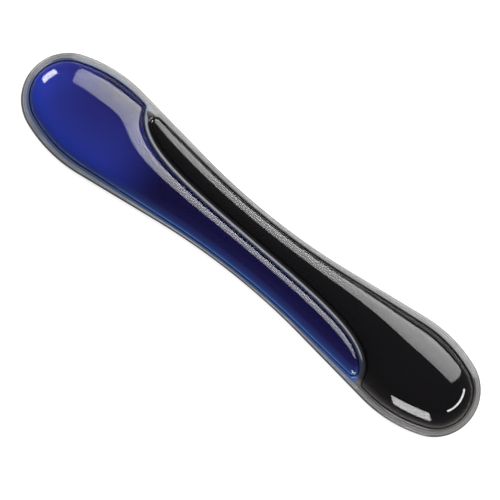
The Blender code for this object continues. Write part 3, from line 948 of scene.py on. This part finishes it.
def makeLayer(name, inset, low, high, rounding, material):
    # levels run from the underside up, as distance in from the layer's own edge and height
    base = evenly(moved(outline, inset), 1 * mm)
    levels = [(rounding, low), (0.3 * rounding, low + 0.3 * rounding), (0, low + rounding),
              (0, high - rounding), (0.3 * rounding, high - 0.3 * rounding), (rounding, high)]
    count = len(base)
    points = np.vstack([np.column_stack((moved(base, step), np.full(count, z))) for step, z in levels])
    faces = []
    for level in range(len(levels) - 1):
        faces.extend(band(level * count + np.arange(count), (level + 1) * count + np.arange(count)))
    flat = moved(base, rounding)
    places, found = filled([flat], hexGrid(flat, 9 * mm))
    inner = places[count:]
    for z, first, order in ((low, 0, -1), (high, (len(levels) - 1) * count, 1)):
        start = len(points)
        points = np.vstack((points, np.column_stack((inner, np.full(len(inner), z)))))
        numbers = np.concatenate((first + np.arange(count), start + np.arange(len(inner))))
        faces.extend(numbers[found][:, ::order])
    piece = meshObject(name, points, faces)
    piece.data.materials.append(material)
    smoothen(piece, 30)
    return piece


plateLook = {"colour": (0.05, 0.049, 0.047), "roughness": 0.22, "rounding": 0.35 * mm, "grain": 1500.0}


def buildPlateMaterial():
    material, tree, shader = newMaterial("smokyPlate", plateLook["colour"], plateLook["roughness"], IOR=1.5)
    surface = useGroup(tree, filmSurface, Pebble_Scale=plateLook["grain"], Pebble_Share=0.8,
                       Low_Roughness=0.18, High_Roughness=0.36)
    shade = mixColour(tree, surface["Smudge"], (0.055, 0.054, 0.052), (0.042, 0.041, 0.04))
    dusty = useGroup(tree, dustSpecks, Colour=shade, Amount=0.3)
    dress(tree, shader, surface, dusty["Colour"], 0.25, 0.2 * mm)
    return material


def buildLaminateMaterial(name, first, second, roughness):
    material, tree, shader = newMaterial(name, first, roughness, IOR=1.45)
    surface = useGroup(tree, filmSurface, Wave_Scale=90.0,
                       Low_Roughness=roughness - 0.06, High_Roughness=roughness + 0.1)
    dress(tree, shader, surface, mixColour(tree, surface["Smudge"], first, second), 0.15, 0.3 * mm)
    return material


sheets = {
    # node replaced: name, slot, distance in from the outline, rounding of its edges, finish
    "base_plate": ("plate", "smoky_plastic", 0, plateLook["rounding"], buildPlateMaterial()),
    "backing_film": ("backing_sheet", "backing_film", 0.45 * mm, 0.05 * mm, buildLaminateMaterial(
        "backingSheet", (0.17, 0.168, 0.165), (0.12, 0.12, 0.118), 0.3)),
    "pad_adhesive": ("adhesive_sheet", "adhesive_film", 3 * mm, 0.05 * mm, buildLaminateMaterial(
        "adhesiveSheet", (0.62, 0.6, 0.54), (0.5, 0.47, 0.4), 0.5)),
}
for nodeName, (sheetName, slotName, inset, rounding, finish) in sheets.items():
    place(makeLayer(sheetName, inset, *layerHeights[nodeName], rounding, finish), slotName, nodeName)
print("flat layers made")


# non-slip pad with moulded studs underneath

padForm = {
    "inset": 2 * mm, "studDepth": 0.35 * mm, "pitch": 4.2 * mm, "studRadius": 1.15 * mm, "margin": 3.2 * mm,
    "colour": (0.018, 0.018, 0.019), "rounding": 0.25 * mm,
}


def buildRubberMaterial():
    material, tree, shader = newMaterial("padRubber", padForm["colour"], 0.75, IOR=1.45)
    surface = useGroup(tree, filmSurface, Pebble_Scale=2200.0, Pebble_Share=1.2,
                       Low_Roughness=0.62, High_Roughness=0.85)
    worn = mixColour(tree, surface["Smudge"], (0.016, 0.016, 0.017), (0.03, 0.029, 0.028))
    dusty = useGroup(tree, dustSpecks, Colour=worn, Scale=300.0, Amount=0.5)
    dress(tree, shader, surface, dusty["Colour"], 0.4, 0.3 * mm)
    return material


def buildStudTree():
    tree, given, result = geometryTree("studdedPad", [
        *[(label, "NodeSocketFloat", 0.0)
          for label in ("Length", "Width", "Pitch", "Stud Radius", "Stud Depth")],
        ("Field", "NodeSocketObject", None),
    ])
    rowPitch = mathNode(tree, "MULTIPLY", given["Pitch"], math.sqrt(3) / 2)
    columns = mathNode(tree, "CEIL", mathNode(tree, "DIVIDE", given["Length"], given["Pitch"]))
    rows = mathNode(tree, "CEIL", mathNode(tree, "DIVIDE", given["Width"], rowPitch))
    sizeX = mathNode(tree, "MULTIPLY", mathNode(tree, "SUBTRACT", columns, 1.0), given["Pitch"])
    sizeY = mathNode(tree, "MULTIPLY", mathNode(tree, "SUBTRACT", rows, 1.0), rowPitch)
    grid = addNode(tree, "GeometryNodeMeshGrid", {
        "Size X": sizeX, "Size Y": sizeY, "Vertices X": columns, "Vertices Y": rows})
    index = addNode(tree, "GeometryNodeInputIndex").outputs[0]
    odd = mathNode(tree, "MODULO", mathNode(tree, "MODULO", index, rows), 2.0)
    shift = addNode(tree, "ShaderNodeCombineXYZ", {
        "X": mathNode(tree, "MULTIPLY", odd, mathNode(tree, "MULTIPLY", given["Pitch"], 0.5)),
        "Z": given["Stud Depth"]})
    staggered = addNode(tree, "GeometryNodeSetPosition", {
        "Geometry": grid.outputs[0], "Offset": shift.outputs[0]})
    field = addNode(tree, "GeometryNodeObjectInfo", {"Object": given["Field"]})
    up = addNode(tree, "ShaderNodeCombineXYZ", {"Z": 1.0})
    under = addNode(tree, "GeometryNodeRaycast", {
        "Target Geometry": field.outputs["Geometry"], "Ray Direction": up.outputs[0], "Ray Length": 1.0})
    stud = addNode(tree, "GeometryNodeMeshCone", {
        "Vertices": 10, "Side Segments": 1, "Fill Segments": 1,
        "Radius Top": given["Stud Radius"],
        "Radius Bottom": mathNode(tree, "MULTIPLY", given["Stud Radius"], 0.72),
        "Depth": mathNode(tree, "MULTIPLY", given["Stud Depth"], 1.3)}, fill_type="TRIANGLE_FAN")
    lowered = addNode(tree, "GeometryNodeTransform", {
        "Geometry": stud.outputs[0],
        "Translation": addNode(tree, "ShaderNodeCombineXYZ", {
            "Z": mathNode(tree, "MULTIPLY", given["Stud Depth"], -1.0)}).outputs[0]})
    spread = addNode(tree, "GeometryNodeInstanceOnPoints", {
        "Points": staggered.outputs[0], "Selection": under.outputs["Is Hit"], "Instance": lowered.outputs[0]})
    joined = addNode(tree, "GeometryNodeJoinGeometry")
    tree.links.new(given["Geometry"], joined.inputs[0])
    tree.links.new(spread.outputs[0], joined.inputs[0])
    endTree(tree, joined.outputs[0], given, result)
    return tree


def makePad():
    rubber = buildRubberMaterial()
    low, high = layerHeights["non_slip_pad"]
    pad = makeLayer(
        "studded_pad", padForm["inset"], low + padForm["studDepth"], high, padForm["rounding"], rubber)
    fieldLine = evenly(moved(outline, padForm["inset"] + padForm["margin"]), 2 * mm)
    places, found = filled([fieldLine], hexGrid(fieldLine, 20 * mm))
    field = meshObject("stud_field", np.column_stack((places, np.full(len(places), 5 * mm))), found)
    grow(pad, buildStudTree(), {
        "Length": 2 * outline[:, 0].max(), "Width": 2 * outline[:, 1].max(), "Pitch": padForm["pitch"],
        "Stud Radius": padForm["studRadius"], "Stud Depth": padForm["studDepth"],
        "Field": field, "Finish": rubber})
    bpy.data.objects.remove(field, do_unlink=True)
    smoothen(pad, 30)
    place(pad, "pad_rubber", "non_slip_pad")
    return pad


pad = makePad()
print("pad made,", len(pad.data.polygons), "faces")


# printed mark: one plain arc on the film

markForm = {
    "centreX": 192.5 * mm, "centreY": 3.5 * mm, "radius": 22 * mm, "halfAngle": math.radians(32),
    "width": 1.5 * mm, "thickness": 0.12 * mm, "above": 0.05 * mm, "steps": 90,
}


def buildMarkTree():
    tree, given, result = geometryTree("printedArc", [
        *[(label, "NodeSocketFloat", 0.0) for label in ("Width", "Thickness", "Above")],
        ("Under", "NodeSocketObject", None),
    ])
    film = addNode(tree, "GeometryNodeObjectInfo", {"Object": given["Under"]})
    down = addNode(tree, "ShaderNodeCombineXYZ", {"Z": -1.0})
    hit = addNode(tree, "GeometryNodeRaycast", {
        "Target Geometry": film.outputs["Geometry"], "Ray Direction": down.outputs[0], "Ray Length": 1.0})
    raised = addNode(tree, "ShaderNodeVectorMath", {0: hit.outputs["Hit Normal"]}, operation="SCALE")
    half = mathNode(tree, "MULTIPLY", given["Thickness"], 0.5)
    tree.links.new(mathNode(tree, "ADD", given["Above"], half), raised.inputs["Scale"])
    spot = addNode(tree, "ShaderNodeVectorMath", {
        0: hit.outputs["Hit Position"], 1: raised.outputs[0]}, operation="ADD")
    laid = addNode(tree, "GeometryNodeSetPosition", {
        "Geometry": given["Geometry"], "Position": spot.outputs[0]})
    path = addNode(tree, "GeometryNodeMeshToCurve", {"Mesh": laid.outputs[0]})
    turned = addNode(tree, "GeometryNodeSetCurveNormal", {"Curve": path.outputs[0]}, mode="Z_UP")
    section = addNode(tree, "GeometryNodeCurvePrimitiveQuadrilateral", {
        "Width": given["Width"], "Height": given["Thickness"]})
    swept = addNode(tree, "GeometryNodeCurveToMesh", {
        "Curve": turned.outputs[0], "Profile Curve": section.outputs[0], "Fill Caps": True})
    endTree(tree, swept.outputs[0], given, result)
    return tree


def makeMark():
    material, tree, shader = newMaterial("whiteInk", (0.75, 0.75, 0.75), 0.35)
    surface = useGroup(tree, filmSurface, Pebble_Scale=1800.0, Low_Roughness=0.3, High_Roughness=0.5)
    dress(tree, shader, surface, mixColour(tree, surface["Smudge"], (0.42, 0.42, 0.42), (0.34, 0.34, 0.34)))
    angles = np.linspace(-markForm["halfAngle"], markForm["halfAngle"], markForm["steps"])
    points = np.column_stack((
        markForm["centreX"] + markForm["radius"] * np.cos(angles),
        markForm["centreY"] + markForm["radius"] * np.sin(angles), np.full(len(angles), 50 * mm)))
    piece = lineObject("printed_arc", points, closed=False)
    grow(piece, buildMarkTree(), {
        "Width": markForm["width"], "Thickness": markForm["thickness"], "Above": markForm["above"],
        "Under": skin, "Finish": material})
    smoothen(piece, 30)
    place(piece, "white_ink", "end_mark")
    return piece


mark = makeMark()
print("mark made,", len(mark.data.polygons), "faces")


# floor, soft lights and camera

stageLook = {
    "floorSize": 4.0, "floorColour": (0.4, 0.4, 0.4), "floorGlow": 0.75, "worldColour": (0.12, 0.12, 0.125),
    "stripFrom": 28, "stripTo": 76, "stripDistance": 0.9,
    # panel glow across its width: place along X, strength at the lower and at the upper edge
    "strip": ((-0.61, 7.0, 4.8), (-0.2, 9.2, 5.6), (0.25, 9.2, 5.6), (0.67, 7.0, 4.8)),
}


def makeFloor():
    half = stageLook["floorSize"] / 2
    corners = [(-half, -half, 0), (half, -half, 0), (half, half, 0), (-half, half, 0)]
    floor = meshObject("floor", corners, [(0, 1, 2, 3)])
    material, tree, shader = newMaterial("paleFloor", stageLook["floorColour"], 0.9)
    shader.inputs["Emission Color"].default_value = (1, 1, 1, 1)
    seen = addNode(tree, "ShaderNodeLightPath").outputs["Is Camera Ray"]
    glow = mathNode(tree, "MULTIPLY", seen, stageLook["floorGlow"])
    tree.links.new(glow, shader.inputs["Emission Strength"])
    floor.data.materials.append(material)


def makeStrip():
    # a long panel on the keyboard side, brighter towards its lower edge
    low, high = math.radians(stageLook["stripTo"]), math.radians(stageLook["stripFrom"])
    reach = stageLook["stripDistance"]
    lower = (reach * math.sin(low), reach * math.cos(low))
    upper = (reach * math.sin(high), reach * math.cos(high))
    strip = stageLook["strip"]
    count = len(strip)
    points = [(x, *lower) for x, _, _ in strip] + [(x, *upper) for x, _, _ in strip]
    faces = [(i, i + 1, i + 1 + count, i + count) for i in range(count - 1)]
    strengths = [value for _, value, _ in strip] + [value for _, _, value in strip]
    panel = meshObject("soft_panel", points, faces, {"glow": strengths})
    material = bpy.data.materials.new("softPanel")
    material.use_nodes = True
    tree = material.node_tree
    tree.nodes.clear()
    glow = addNode(tree, "ShaderNodeEmission", {"Strength": attribute(tree, "glow")})
    end = tree.nodes.new("ShaderNodeOutputMaterial")
    tree.links.new(glow.outputs[0], end.inputs["Surface"])
    panel.data.materials.append(material)
    panel.visible_camera = False


def makeSoftbox(name, spot, aim, width, height, watts):
    light = bpy.data.lights.new(name, "AREA")
    light.shape = "RECTANGLE"
    light.size, light.size_y, light.energy = width, height, watts
    lamp = addObject(name, light)
    lamp.location = spot
    lamp.rotation_euler = (Vector(aim) - Vector(spot)).to_track_quat("-Z", "Y").to_euler()
    lamp.visible_camera = False


cameraForm = {
    "turn": 38.28, "distance": 1.3, "across": 0.4135,     # metres across the frame at the object
    "leanX": 1.75, "leanY": 4.0,                          # degrees off straight down
    "aimHeight": 10 * mm, "aimRight": 3.05, "aimUp": 4.8, "frame": 500,
    "sensor": 36, "clipEnd": 20,
}


def makeCamera():
    turn = math.radians(cameraForm["turn"])
    right = Vector((math.cos(turn), math.sin(turn), 0))
    up = Vector((-math.sin(turn), math.cos(turn), 0))
    unit = cameraForm["across"] / cameraForm["frame"]
    offset = cameraForm["aimRight"] * right + cameraForm["aimUp"] * up
    aim = Vector((0, 0, cameraForm["aimHeight"])) - unit * offset
    leanX, leanY = [math.tan(math.radians(cameraForm[key])) for key in ("leanX", "leanY")]
    back = Vector((-leanX, -leanY, 1)).normalized()
    upright = (up - up.dot(back) * back).normalized()
    across = upright.cross(back)
    data = bpy.data.cameras.new("camera")
    data.sensor_width = cameraForm["sensor"]
    data.lens = cameraForm["sensor"] * cameraForm["distance"] / cameraForm["across"]
    data.clip_end = cameraForm["clipEnd"]
    camera = addObject("camera", data)
    camera.matrix_world = Matrix.Translation(aim + cameraForm["distance"] * back) @ Matrix(
        (across, upright, back)).transposed().to_4x4()
    bpy.context.scene.camera = camera


makeFloor()
makeStrip()
makeSoftbox("end_softbox", (-0.98, 0.21, 0.447), (-0.216, 0.005, 0.018), 0.38, 0.30, 6.4)
makeSoftbox("user_softbox", (0.535, -0.682, 0.536), (0.184, -0.025, 0.02), 0.43, 0.35, 6.0)
makeCamera()
world = bpy.data.worlds.new("studio")
world.use_nodes = True
world.node_tree.nodes["Background"].inputs["Color"].default_value = (*stageLook["worldColour"], 1)
bpy.context.scene.world = world
bpy.context.scene.view_settings.view_transform = "Standard"
print("stage, lights and camera set")
